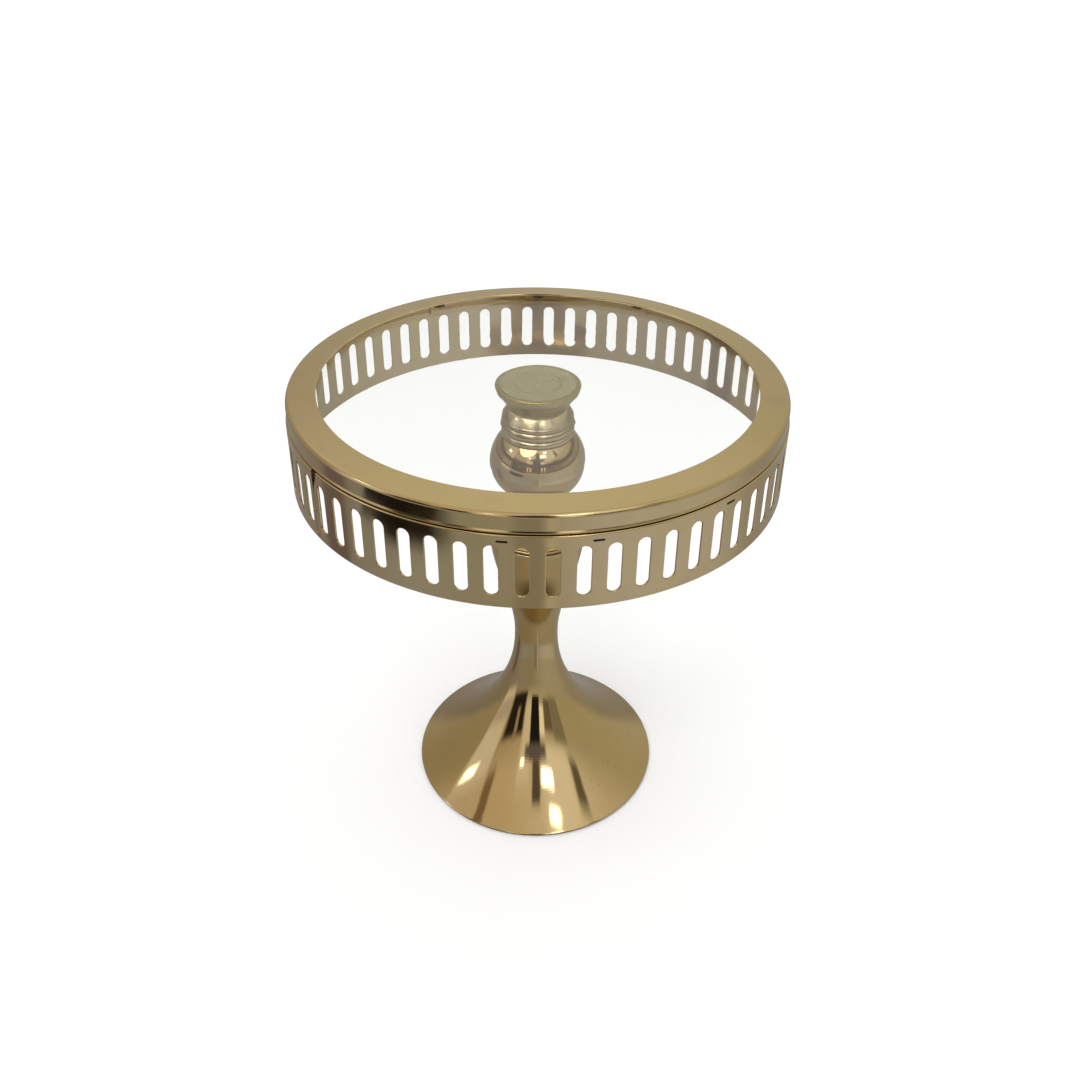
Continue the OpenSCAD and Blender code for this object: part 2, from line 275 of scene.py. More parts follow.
def gold(name, rough=(0.10, 0.19), turning=0.35, tone=(0.0, 1.0), pits=True, waves=0.35, base_a=(203, 181, 126), base_b=(209, 184, 134), painted_groove_shade=(), face=None, coat=0.25, outer=None):
    """Polished plating in champagne gold under a thin lacquer: slow colour drift, turning lines, polishing haze, sparse pits."""
    m, nt, b = material(name)
    obj, rnd, z, rad = round_coords(nt)
    drift = noise(nt, obj, 14.0, 3.0, 0.55)
    drift2 = noise(nt, obj, 55.0, 2.0, 0.5)
    base = mix_colour(nt, ranged(nt, drift, 0.35, 0.65, tone[0], tone[1], True), srgb(*base_a), srgb(*base_b))
    base = mix_colour(nt, ranged(nt, drift2, 0.56, 0.74, 0.0, 0.35, True), base, srgb(187, 167, 120))
    # sparse pits and specks of dust in the lacquer
    if pits:
        vor = new(nt, "ShaderNodeTexVoronoi", Scale=260.0, Randomness=1.0)
        nt.links.new(obj, vor.inputs["Vector"])
        gate = noise(nt, obj, 31.0, 1.0, 0.5)
        near = ranged(nt, vor.outputs["Distance"], 0.05, 0.11, 1.0, 0.0)
        speck = math2(nt, "MULTIPLY", near, ranged(nt, gate, 0.68, 0.70, 0.0, 1.0))
        base = mix_colour(nt, speck, base, srgb(92, 72, 48))
    if face:
        base = mix_colour(nt, ranged(nt, z, (face[0] - 0.1) * MM, face[0] * MM, 0.0, 1.0), base, mix_colour(nt, ranged(nt, drift2, 0.4, 0.65, 0.0, 1.0, True), srgb(*face[1]), srgb(*[v + 5 for v in face[1]])))
    # painted shade: beyond the given radius the colour turns dark, standing in for the shade in the slits
    if outer:
        base = mix_colour(nt, ranged(nt, rad, (outer[0] - 0.3) * MM, outer[0] * MM, 0.0, 1.0), base, srgb(*outer[1]))
    # painted shade: dark lines along the turned grooves stand in for the shade in them: (radius, half width, lowest
    # height), in mm
    for gr, gw, gz in painted_groove_shade:
        line = math2(nt, "MULTIPLY", ranged(nt, math2(nt, "ABSOLUTE", math2(nt, "SUBTRACT", rad, gr * MM)), gw * 0.4 * MM, gw * MM, 1.0, 0.0, True),
                     ranged(nt, z, gz * MM, (gz + 0.05) * MM, 0.0, 1.0))
        groove_shade_breakup = ranged(nt, noise(nt, obj, 210.0, 3.0, 0.6), 0.35, 0.65, 0.65, 1.0)
        base = mix_colour(nt, math2(nt, "MULTIPLY", line, groove_shade_breakup), base, srgb(88, 76, 42))
    nt.links.new(base, b.inputs["Base Color"])
    b.inputs["Metallic"].default_value = 1.0
    haze = noise(nt, obj, 38.0, 4.0, 0.6)
    lines = noise(nt, rnd, 2600.0, 2.0, 0.6)
    r1 = ranged(nt, haze, 0.3, 0.7, rough[0], rough[1], True)
    r2 = math2(nt, "ADD", r1, ranged(nt, lines, 0.35, 0.75, -0.012, 0.03))
    nt.links.new(r2, b.inputs["Roughness"])
    b.inputs["Coat Weight"].default_value = coat
    b.inputs["Coat Roughness"].default_value = 0.06
    b.inputs["Coat IOR"].default_value = 1.45
    # height: spun waviness, turning lines, orange peel of the lacquer
    wave = noise(nt, obj, 26.0, 2.0, 0.5)
    peel = noise(nt, obj, 900.0, 2.0, 0.5)
    h = math2(nt, "ADD", math2(nt, "MULTIPLY", lines, turning * 0.012), math2(nt, "MULTIPLY", peel, 0.006))
    h = math2(nt, "ADD", h, math2(nt, "MULTIPLY", wave, waves))
    bump = nt.nodes.new("ShaderNodeBump")
    bump.inputs["Strength"].default_value = 1.0
    bump.inputs["Distance"].default_value = 0.0003
    nt.links.new(h, bump.inputs["Height"])
    nt.links.new(bump.outputs[0], b.inputs["Normal"])
    return m


def clear_glass(name, colour, rough=0.0, ior=1.52):
    m, nt, b = material(name)
    obj, rnd, z, rad = round_coords(nt)
    smear = noise(nt, obj, 22.0, 3.0, 0.6)
    b.inputs["Base Color"].default_value = (*colour, 1.0)
    nt.links.new(ranged(nt, smear, 0.62, 0.85, rough, rough + 0.012, True), b.inputs["Roughness"])
    b.inputs["IOR"].default_value = ior
    b.inputs["Transmission Weight"].default_value = 1.0
    # light passes through the plate to the floor
    out = [n for n in nt.nodes if n.type == "OUTPUT_MATERIAL"][0]
    path = nt.nodes.new("ShaderNodeLightPath")
    clear = nt.nodes.new("ShaderNodeBsdfTransparent")
    clear.inputs[0].default_value = (0.97, 0.985, 0.975, 1.0)
    mix = nt.nodes.new("ShaderNodeMixShader")
    nt.links.new(path.outputs["Is Shadow Ray"], mix.inputs[0])
    nt.links.new(b.outputs[0], mix.inputs[1])
    nt.links.new(clear.outputs[0], mix.inputs[2])
    nt.links.new(mix.outputs[0], out.inputs["Surface"])
    return m


def silicone(name, alpha=0.3):
    m, nt, b = material(name)
    obj, rnd, z, rad = round_coords(nt)
    n = noise(nt, obj, 120.0, 3.0, 0.6)
    nt.links.new(mix_colour(nt, ranged(nt, n, 0.4, 0.7, 0.0, 1.0), srgb(222, 226, 218), srgb(206, 208, 196)), b.inputs["Base Color"])
    nt.links.new(ranged(nt, n, 0.3, 0.7, 0.28, 0.42), b.inputs["Roughness"])
    b.inputs["Alpha"].default_value = alpha
    b.inputs["IOR"].default_value = 1.41
    bump = nt.nodes.new("ShaderNodeBump")
    bump.inputs["Distance"].default_value = 0.0001
    nt.links.new(n, bump.inputs["Height"])
    nt.links.new(bump.outputs[0], b.inputs["Normal"])
    return m


def steel(name, dark=False):
    m, nt, b = material(name)
    obj, rnd, z, rad = round_coords(nt)
    spangle = new(nt, "ShaderNodeTexVoronoi", Scale=420.0)
    nt.links.new(obj, spangle.inputs["Vector"])
    n = noise(nt, obj, 160.0, 4.0, 0.65)
    lines = noise(nt, rnd, 3000.0, 1.0, 0.5)
    if dark:
        a, c, d = srgb(58, 44, 30), srgb(96, 74, 48), (0.35, 0.55)
    else:
        a, c, d = srgb(176, 178, 176), srgb(205, 206, 200), (0.22, 0.38)
    base = mix_colour(nt, ranged(nt, n, 0.35, 0.7, 0.0, 1.0, True), a, c)
    base = mix_colour(nt, ranged(nt, spangle.outputs["Distance"], 0.0, 0.8, 0.0, 0.18), base, srgb(120, 118, 112))
    nt.links.new(base, b.inputs["Base Color"])
    b.inputs["Metallic"].default_value = 1.0
    nt.links.new(ranged(nt, n, 0.3, 0.7, d[0], d[1]), b.inputs["Roughness"])
    bump = nt.nodes.new("ShaderNodeBump")
    bump.inputs["Distance"].default_value = 0.00004
    nt.links.new(lines, bump.inputs["Height"])
    nt.links.new(bump.outputs[0], b.inputs["Normal"])
    return m


def rubber(name):
    m, nt, b = material(name)
    obj, rnd, z, rad = round_coords(nt)
    n = noise(nt, obj, 240.0, 4.0, 0.6)
    g = noise(nt, obj, 2200.0, 2.0, 0.6)
    nt.links.new(mix_colour(nt, ranged(nt, n, 0.35, 0.7, 0.0, 1.0), srgb(46, 38, 30), srgb(66, 56, 44)), b.inputs["Base Color"])
    nt.links.new(ranged(nt, g, 0.3, 0.7, 0.55, 0.75), b.inputs["Roughness"])
    bump = nt.nodes.new("ShaderNodeBump")
    bump.inputs["Distance"].default_value = 0.00006
    nt.links.new(g, bump.inputs["Height"])
    nt.links.new(bump.outputs[0], b.inputs["Normal"])
    return m


GOLD_CAST = gold("gold_cast", rough=(0.022, 0.055), turning=0.5, waves=0.9, base_a=(199, 175, 119), base_b=(206, 180, 127))
GOLD_COLLAR = gold("gold_collar", rough=(0.15, 0.24), turning=1.6, waves=0.5, base_a=(206, 190, 140), base_b=(212, 194, 150))
# the cap's finish has dark lines painted along its turned grooves: painted shade in the recesses
GOLD_CAP = gold("gold_cap", rough=(0.20, 0.30), turning=0.3, waves=0.1, base_a=(196, 182, 122), base_b=(203, 188, 130),
                painted_groove_shade=[(21.9 * f, w, DISC_Z - 0.6) for f, w in ((0.935, 0.22), (0.895, 0.38), (0.545, 0.38))], face=(DISC_Z - 0.4, (177, 157, 74)), coat=0.1)
GOLD_RIM = gold("gold_rim", rough=(0.09, 0.15), turning=0.2)
# the clips are gold; their outer ends, where they come out through the slits, are painted dark as painted shade
GOLD_CLIP = gold("gold_clip", rough=(0.12, 0.2), turning=0.0, outer=(STRIP_R + 1.2, (48, 38, 24)))
GOLD_STRIP = gold("gold_strip", rough=(0.08, 0.14), turning=0.0)
GLASS = clear_glass("clear_glass", (0.985, 0.998, 0.99))
SILICONE = silicone("clear_silicone")
BOND = silicone("clear_bond", 0.05)
ZINC = steel("zinc_steel")
DARK = steel("dark_steel", dark=True)
RUBBER = rubber("dark_rubber")


# ------------------------------------------------------------------ pedestal
def ease(t):
    return t * t * (3 - 2 * t)


def ped_r(z):
    if z < NECK_Z:
        return NECK_R + (FOOT_R - 0.35 - NECK_R) * max((NECK_Z - z) / (NECK_Z - LIP_Z), 0.0) ** 2.24
    return NECK_R + (TULIP_R - NECK_R) * ease((z - NECK_Z) / (TULIP_Z - NECK_Z))


def ped_in(z):
    s = (ped_r(z + 0.05) - ped_r(z - 0.05)) / 0.1
    return ped_r(z) - WALL * math.sqrt(1 + s * s)


PLATE_R = TULIP_R - WALL - 0.2
outer = [(FOOT_R - 3.4, FOOT_Z), (FOOT_R - 0.6, FOOT_Z)]
outer += arc(FOOT_R - 0.62, FOOT_Z + 0.62, 0.62, -85, 50, 10)
outer += [(ped_r(z), z) for z in (LIP_Z + 0.02 + (NECK_Z - LIP_Z) * (i / 84) ** 1.25 for i in range(85))]
outer += [(ped_r(z), z) for z in (NECK_Z + (TULIP_Z - 0.7 - NECK_Z) * i / 60 for i in range(1, 61))]
outer += arc(TULIP_R - 0.55, TULIP_Z - 0.5, 0.5, 12, 90, 7)
outer += [(PLATE_R + 0.1, TULIP_Z), (PLATE_R + 0.1, TULIP_Z - 2.5), (PLATE_R - 2.5, TULIP_Z - 2.5), (PLATE_R - 2.5, TULIP_Z - 4.5)]
inner = [(ped_in(z), z) for z in (NECK_Z + (TULIP_Z - NECK_Z) * i / 40 for i in range(35, 0, -1))]
inner += [(ped_in(z), z) for z in (LIP_Z + (NECK_Z - LIP_Z) * (i / 60) ** 1.25 for i in range(60, 0, -1))]
link("pedestal", turned("pedestal", outer + inner, seg=288), GOLD_CAST, ("pedestal_shell",))

# ------------------------------------------------------------------ stem
BULB_R, BULB_H = 25.3, 46.0
BULB_Z = DISC_Z - 43.6
BULB_LOW = BULB_Z - 16.5
WAIST_R = 13.5
WAIST_Z = BULB_LOW - 6.5
FL_TOP = STEM_Z + 1.3
COLLAR_R = 19.3
THROAT_R = 15.1
DISC_R = hi("disc_cap", 0)
BORE_R = 4.25


def egg_r(z):
    return BULB_R * math.sqrt(max(1 - ((z - BULB_Z) / (BULB_H / 2)) ** 2, 0))


pts = [(WAIST_R - 4, STEM_Z), (TULIP_R - 0.6, STEM_Z)]
pts += arc(TULIP_R - 0.9, STEM_Z + 0.65, 0.65, -60, 82, 12)
pts += [(WAIST_R + (TULIP_R - 1.6 - WAIST_R) * (1 - t) ** 3.2, FL_TOP + (WAIST_Z - FL_TOP) * t) for t in (i / 30 for i in range(31))]
pts += [(WAIST_R + (egg_r(BULB_LOW) - WAIST_R) * t ** 2, WAIST_Z + (BULB_LOW - WAIST_Z) * t) for t in (i / 10 for i in range(1, 10))]
pts += [(egg_r(z), z) for z in (BULB_LOW + (BULB_TOP - BULB_LOW) * i / 56 for i in range(57))]
pts += [(COLLAR_R - 2, BULB_TOP), (BORE_R, BULB_TOP), (BORE_R, STEM_Z + 8), (WAIST_R - 4, STEM_Z + 8)]
link("bulb_turned", turned("bulb_turned", pts, seg=240), GOLD_CAST, ("bulb",))

c, z0, h = COLLAR_R, BULB_TOP, COLLAR_TOP - BULB_TOP


def rolled(za, zb, r, d, n, p=2.2):
    """Convex band between two heights, bulging from r - d at its edges to r."""
    return [(r - d * abs(2 * t - 1) ** p, za + (zb - za) * t) for t in (0.5 - 0.5 * math.cos(math.pi * i / n) for i in range(n + 1))]


pts = [(BORE_R, z0), (c - 1.1, z0)]
pts += rolled(z0 + 0.12, z0 + 3.5, c - 0.15, 0.8, 14, 2.6) + [(c - 1.35, z0 + 3.53), (c - 1.35, z0 + 3.67)]
pts += rolled(z0 + 3.7, z0 + 8.2, c, 1.0, 18, 2.0) + [(c - 1.45, z0 + 8.24), (c - 1.45, z0 + 8.38)]
pts += rolled(z0 + 8.4, z0 + 11.0, c - 0.6, 0.6, 12, 2.0) + [(c - 1.35, z0 + 11.05), (c - 1.35, z0 + 11.25), (c - 1.05, z0 + 11.37)]
pts += [(THROAT_R + 0.1 + (c - 0.95 - THROAT_R - 0.1) * (1 - t) ** 0.8, z0 + 11.5 + (h - 11.5) * t) for t in (i / 24 for i in range(25))]
pts += [(BORE_R, z0 + h)]
link("collar_turned", turned("collar_turned", pts, seg=240), GOLD_COLLAR, ("grooved_collar",))

z0, h, R = COLLAR_TOP, DISC_Z - COLLAR_TOP, DISC_R
pts = [(4.05, z0), (THROAT_R - 0.35, z0), (THROAT_R - 0.12, z0 + 0.06), (THROAT_R, z0 + 0.25)]
pts += [(THROAT_R + 0.1 * math.sin(math.pi / 2 * t) + (R - 1.6 - THROAT_R - 0.1) * t ** 1.06, z0 + 0.6 + (h - 4.9) * t) for t in (i / 30 for i in range(31))]
pts += [(R - 1.45, DISC_Z - 4.22), (R - 1.75, DISC_Z - 4.08), (R - 1.75, DISC_Z - 3.98), (R - 0.95, DISC_Z - 3.72), (R - 0.8, DISC_Z - 3.55)]
pts += [(R - 0.16, DISC_Z - 1.3)]
pts += arc(R - 0.6, DISC_Z - 0.6, 0.6, -12, 90, 10)


def groove(r, w, d, n=6):
    return [(r + w * math.cos(math.pi * i / n), DISC_Z - d * math.sin(math.pi * i / n)) for i in range(n + 1)]


for r, w, d in ((R * 0.935, 0.2, 0.10), (R * 0.895, 0.3, 0.24), (R * 0.545, 0.3, 0.24)):
    pts += groove(r, w, d)
pts += [(0, DISC_Z), (0, ROD_Z1 + 2), (4.05, ROD_Z1 + 1)]
link("disc_cap_turned", turned("disc_cap_turned", pts, seg=240), GOLD_CAP, ("disc_cap",))

# ------------------------------------------------------------------ rim and glass
SIN = RIM_R - SHOULDER
bx, bz, br = RIM_R + BEAD_OUT - 0.7, BAND_Z + 0.7, 0.7
top_in = RIM_TOP
pts = arc(FLANGE_R + RIM_T / 2, top_in - RIM_T / 2, RIM_T / 2, 270, 90, 14)
pts += arc(SIN, STAND_H - SHOULDER, SHOULDER, 87, 0, 26)
pts += [(RIM_R, bz + 1.1)]
pts += arc(RIM_R + 0.35, bz + 1.1, 0.35, 180, 218, 5)[1:]
pts += arc(bx, bz, br, 44, -90, 16)
pts += [(RIM_R - RIM_T + 0.2, BAND_Z), (RIM_R - RIM_T, BAND_Z + 0.2), (RIM_R - RIM_T, STAND_H - SHOULDER)]
pts += arc(SIN, STAND_H - SHOULDER, SHOULDER - RIM_T, 0, 86, 12)
link("rim_pressed", turned("rim_pressed", pts, seg=360), GOLD_RIM, ("rim_ring",))

pts = [(0, GLASS_Z0), (GLASS_R - 0.6, GLASS_Z0)] + arc(GLASS_R - 0.6, GLASS_Z0 + 0.6, 0.6, -80, 0, 6)
pts += arc(GLASS_R - 0.6, GLASS_Z1 - 0.6, 0.6, 0, 80, 6) + [(GLASS_R - 0.6, GLASS_Z1), (0, GLASS_Z1)]
link("glass_plate", turned("glass_plate", pts, seg=240), GLASS, ("glass_top",))


# thin clear adhesive between the disc and the plate, and the clear seal under the flange; both kept a hair clear of their neighbours
link("clear_bond_disc", turned("clear_bond_disc", [(0, DISC_Z + 0.05), (DISC_R - 1.9, DISC_Z + 0.05), (DISC_R - 1.75, DISC_Z + 0.15), (DISC_R - 1.9, GLASS_Z0 - 0.05), (0, GLASS_Z0 - 0.05)], seg=180),
     BOND, ("glass_bond",))
SEAL_A, SEAL_B = FLANGE_R + 2.5, SIN - 1.6


def under(r_):
    return STAND_H - RIM_T + (RIM_TOP - STAND_H) / (SIN - FLANGE_R) * (SIN - r_) - 0.10


pts = [(SEAL_A + 0.5, GLASS_Z1 + 0.05), (SEAL_B - 0.05, GLASS_Z1 + 0.05), (SEAL_B - 0.05, under(SEAL_B)), (SEAL_A + 0.25, under(SEAL_A)), (SEAL_A + 0.12, under(SEAL_A) - 0.15), (SEAL_A + 0.2, GLASS_Z1 + 0.3)]
link("rim_seal_bead", turned("rim_seal_bead", pts, seg=240), SILICONE, ("rim_seal",))


# ------------------------------------------------------------------ gallery strip
def out_r(z):
    return SKIRT_R + FLARE * (BAND_Z - z) / GAL_H


def gallery():
    """Rolled strip built slot by slot: each cell runs from the outer face over the rounded edge of the slot to the inner face."""
    cell = 2 * math.pi / SLOT_N
    half = SLOT_W / 2
    c = (SLOT_L - SLOT_W) / 2
    r_mid = out_r(SLOT_Z) - STRIP_T / 2
    zt, zb = SLOT_Z + SLOT_L / 2 + 1.6, SLOT_Z - SLOT_L / 2 - 1.6
    hw = cell * r_mid / 2  # half the cell's width, along the middle of the sheet
    ns, nt_, na = 10, 6, 12  # points along a side, along the top or bottom, round one end
    # obround, from the bottom right, anticlockwise: (unit position, outward direction)
    ob = []
    for i in range(ns):
        ob.append(((half, -c + 2 * c * i / ns), (1, 0)))
    for i in range(na):
        a = math.pi * i / na
        ob.append(((half * math.cos(a), c + half * math.sin(a)), (math.cos(a), math.sin(a))))
    for i in range(ns):
        ob.append(((-half, c - 2 * c * i / ns), (-1, 0)))
    for i in range(na):
        a = math.pi + math.pi * i / na
        ob.append(((half * math.cos(a), -c + half * math.sin(a)), (math.cos(a), math.sin(a))))
    # matching points on the cell's rectangle
    rect = []
    q = na // 4
    for (x, y), (dx, dy) in ob:
        rect.append(None)
    K = len(ob)

    def put(i, x, y):
        rect[i % K] = (x, y)

    # right side: from the bottom right corner to the top right corner
    idx_c = [ns + q, ns + na - q, 2 * ns + na + q, 2 * ns + 2 * na - q]  # corners: top right, top left, bottom left, bottom right
    tr, tl, bl, br_ = idx_c

    def run(i0, i1, p0, p1):
        n = (i1 - i0) % K
        for j in range(n + 1):
            t = j / n
            put(i0 + j, p0[0] + (p1[0] - p0[0]) * t, p0[1] + (p1[1] - p0[1]) * t)

    run(tr, tl, (hw, zt - SLOT_Z), (-hw, zt - SLOT_Z))
    run(tl, bl, (-hw, zt - SLOT_Z), (-hw, zb - SLOT_Z))
    run(bl, br_, (-hw, zb - SLOT_Z), (hw, zb - SLOT_Z))
    run(br_, tr, (hw, zb - SLOT_Z), (hw, zt - SLOT_Z))
    ro, ri = 0.30, 0.24  # roundings of the slot's outer and inner edges
    loops = []  # (offset from the slot's edge, depth below the outer face)
    loops.append(("rect", 0.0))
    loops.append((ro + 0.12, 0.0))
    for i in range(8):
        a = math.pi / 2 * i / 7
        loops.append((ro - ro * math.sin(a), ro - ro * math.cos(a)))
    for i in range(6):
        a = math.pi / 2 * i / 5
        loops.append((ri - ri * math.cos(a), STRIP_T - ri + ri * math.sin(a)))
    loops.append((ri + 0.12, STRIP_T))
    loops.append(("rect", STRIP_T))
    verts, faces, seen = [], [], {}

    def vert(ang, z, depth):
        r = out_r(z) - depth
        key = (round(ang * 1e5) % round(2 * math.pi * 1e5), round(z * 1e4), round(depth * 1e4))
        if key not in seen:
            seen[key] = len(verts)
            verts.append((r * MM * math.cos(ang), r * MM * math.sin(ang), z * MM))
        return seen[key]

    nseg_row = None
    tops, bots = [], []
    for k in range(SLOT_N):
        mid = math.radians(SLOT_TURN - 90) + cell * k
        ids = []
        for off, depth in loops:
            ring = []
            for i in range(K):
                if off == "rect":
                    x, y = rect[i]
                else:
                    (x, y), (dx, dy) = ob[i]
                    x, y = x + dx * off, y + dy * off
                ring.append(vert(mid + x / r_mid, SLOT_Z + y, depth))
            ids.append(ring)
        for a, b in zip(ids, ids[1:]):
            for i in range(K):
                f = [a[i], a[(i + 1) % K], b[(i + 1) % K], b[i]]
                if len(set(f)) > 2:
                    faces.append(f)
    # upper and lower bands, on the same angles as the rectangles' corners and side points
    top_x = sorted({rect[i % K][0] for i in range(tr, tl + 1)})
    angs = []
    for k in range(SLOT_N):
        mid = math.radians(SLOT_TURN - 90) + cell * k
        angs += [mid + x / r_mid for x in top_x[:-1]]
    n = len(angs)

    def band(rows):
        prev = None
        for z, depth in rows:
            ring = [vert(a, z, depth) for a in angs]
            if prev:
                for i in range(n):
                    f = [prev[i], prev[(i + 1) % n], ring[(i + 1) % n], ring[i]]
                    if len(set(f)) > 2:
                        faces.append(f)
            prev = ring

    e = 0.25
    # skirt, its rounded shoulder, the ledge, and the collar inside the rim, then the same way back inside
    def at(r, z):
        return (z, out_r(z) - r)

    rt, rr, rf = SKIRT_R, 0.6, 0.25
    under = LEDGE_Z - STRIP_T
    rows = [(zt, 0.0), at(rt, LEDGE_Z - rr - 0.15)]
    rows += [at(rt - rr + rr * math.cos(math.pi / 2 * i / 8), LEDGE_Z - rr + rr * math.sin(math.pi / 2 * i / 8)) for i in range(9)]
    rows += [at(rt - rr - 0.08, LEDGE_Z), at(STRIP_R + rf + 0.08, LEDGE_Z)]
    rows += [at(STRIP_R + rf - rf * math.sin(math.pi / 2 * i / 5), LEDGE_Z + rf - rf * math.cos(math.pi / 2 * i / 5)) for i in range(6)]
    rows += [at(STRIP_R, STRIP_TOP - 0.08), at(STRIP_R - 0.08, STRIP_TOP), at(STRIP_R - STRIP_T + 0.08, STRIP_TOP), at(STRIP_R - STRIP_T, STRIP_TOP - 0.08)]
    rows += [at(STRIP_R - STRIP_T, under + 0.2), at(STRIP_R - STRIP_T + 0.1, under), at(rt - STRIP_T - 0.3, under)]
    rows += [at(rt - STRIP_T - 0.09, under - 0.09), at(rt - STRIP_T, under - 0.3), (zt, STRIP_T)]
    band(rows)
    rows = [(zb, 0.0), (STRIP_BOT + e + 0.08, 0.0)]
    for i in range(6):
        a = math.pi / 2 * i / 5
        rows.append((STRIP_BOT + e - e * math.sin(a), e - e * math.cos(a)))
    for i in range(6):
        a = math.pi / 2 * i / 5
        rows.append((STRIP_BOT + e - e * math.cos(a), STRIP_T - e + e * math.sin(a)))
    rows += [(STRIP_BOT + e + 0.08, STRIP_T), (zb, STRIP_T)]
    band(rows)
    mesh = bpy.data.meshes.new("gallery_strip")
    mesh.from_pydata(verts, [], faces)
    mesh.validate()
    return mesh


def facing(a):
    return Matrix.Rotation(math.radians(a - 90), 4, "Z")


def prism(bm, pts2, x0, x1, mat):
    """(y, z) outline pushed from x0 to x1, all in mm, then moved by mat."""
    a = [bm.verts.new(mat @ Vector((x0 * MM, y * MM, z * MM))) for y, z in pts2]
    b = [bm.verts.new(mat @ Vector((x1 * MM, y * MM, z * MM))) for y, z in pts2]
    n = len(pts2)
    bm.faces.new(a[::-1])
    bm.faces.new(b)
    for i in range(n):
        bm.faces.new((a[i], a[(i + 1) % n], b[(i + 1) % n], b[i]))


mesh = gallery()
finish_mesh(mesh, 60)
strip = bpy.data.objects.new("gallery_strip", mesh)
scene.collection.objects.link(strip)
# the seam and the clips' slits are cut out of the strip
bm = bmesh.new()
prism(bm, [(-0.2, STRIP_BOT - 1), (0.2, STRIP_BOT - 1), (0.4, SLOT_Z + 4), (0.9, BAND_Z - 10), (2.1, BAND_Z - 6.5), (3.2, BAND_Z - 4.6), (4.0, BAND_Z - 3),
           (4.4, BAND_Z - 1), (4.4, STRIP_TOP + 1), (0.1, STRIP_TOP + 1), (0.1, SLOT_Z + 4)],
      STRIP_R - 6, STRIP_R + 8, facing(SEAM))
for a in CLIPS:
    m4 = facing(a)
    prism(bm, [(-2.6, SLIT_Z - 0.3), (-2.45, SLIT_Z - 0.45), (2.45, SLIT_Z - 0.45), (2.6, SLIT_Z - 0.3), (2.6, SLIT_Z + 0.3), (2.45, SLIT_Z + 0.45), (-2.45, SLIT_Z + 0.45), (-2.6, SLIT_Z + 0.3)],
          STRIP_R - 3, STRIP_R + 5, m4)
bmesh.ops.recalc_face_normals(bm, faces=bm.faces)
cut_mesh = bpy.data.meshes.new("cut")
bm.to_mesh(cut_mesh)
bm.free()
cutter = bpy.data.objects.new("cutter", cut_mesh)
scene.collection.objects.link(cutter)
mod = strip.modifiers.new("cut", "BOOLEAN")
mod.operation = "DIFFERENCE"
mod.solver = "EXACT"
mod.object = cutter
dg = bpy.context.evaluated_depsgraph_get()
done = bpy.data.meshes.new_from_object(strip.evaluated_get(dg))
done.name = "gallery_strip_cut"
bpy.data.objects.remove(strip)
bpy.data.objects.remove(cutter)
done.materials.clear()
done.shade_smooth()
done.set_sharp_from_angle(angle=math.radians(40))
link("gallery_strip", done, GOLD_STRIP, ("gallery_band",))


# ------------------------------------------------------------------ clips: bent strip with a rounded corner and a hook
def clips():
    bm = bmesh.new()
    t = 0.8
    xo = STRIP_R - STRIP_T - 0.1
    zt = GLASS_Z0 - 0.02
    zb = SLIT_Z
    # centre line: tip under the glass, bend, down the strip, bend, out through the slit
    rb = 1.4
    path = [(xo - 9.0, zt - t / 2 - 0.25), (xo - 8.0, zt - t / 2)]
    cx, cz = xo - t / 2 - rb, zt - t / 2 - rb
    for i in range(7):
        a = math.pi / 2 - math.pi / 2 * i / 6
        path.append((cx + rb * math.cos(a), cz + rb * math.sin(a)))
    rh = 0.55
    hx, hz = xo - t / 2 + rh, zb + rh
    for i in range(6):
        a = math.pi + math.pi / 2 * i / 5
        path.append((hx + rh * math.cos(a), hz + rh * math.sin(a)))
    path.append((out_r(zb) + 0.2, zb))
    for a in CLIPS:
        m4 = facing(a)
        rings = []
        for i, (x, z) in enumerate(path):
            p = path[max(i - 1, 0)]
            q = path[min(i + 1, len(path) - 1)]
            d = Vector((q[0] - p[0], q[1] - p[1])).normalized()
            nx, nz = -d[1], d[0]
            w = 3.0 if i < len(path) - 6 else (3.0 - 0.7 * (i - (len(path) - 7)) / 6)
            if i == 0:
                w = 2.4
            ring = []
            b = 0.12
            for y, s in ((-w + b, 0.5), (w - b, 0.5), (w, 0.5 - b / t), (w, -0.5 + b / t), (w - b, -0.5), (-w + b, -0.5), (-w, -0.5 + b / t), (-w, 0.5 - b / t)):
                ring.append(bm.verts.new(m4 @ Vector(((x + nx * s * t) * MM, y * MM, (z + nz * s * t) * MM))))
            rings.append(ring)
        for a_, b_ in zip(rings, rings[1:]):
            for j in range(8):
                bm.faces.new((a_[j], a_[(j + 1) % 8], b_[(j + 1) % 8], b_[j]))
        bm.faces.new(rings[0])
        bm.faces.new(rings[-1][::-1])
    mesh = bpy.data.meshes.new("glass_clip_set")
    bm.to_mesh(mesh)
    bm.free()
    return finish_mesh(mesh, 35)


link("glass_clip_set", clips(), GOLD_CLIP, ("glass_clips",))


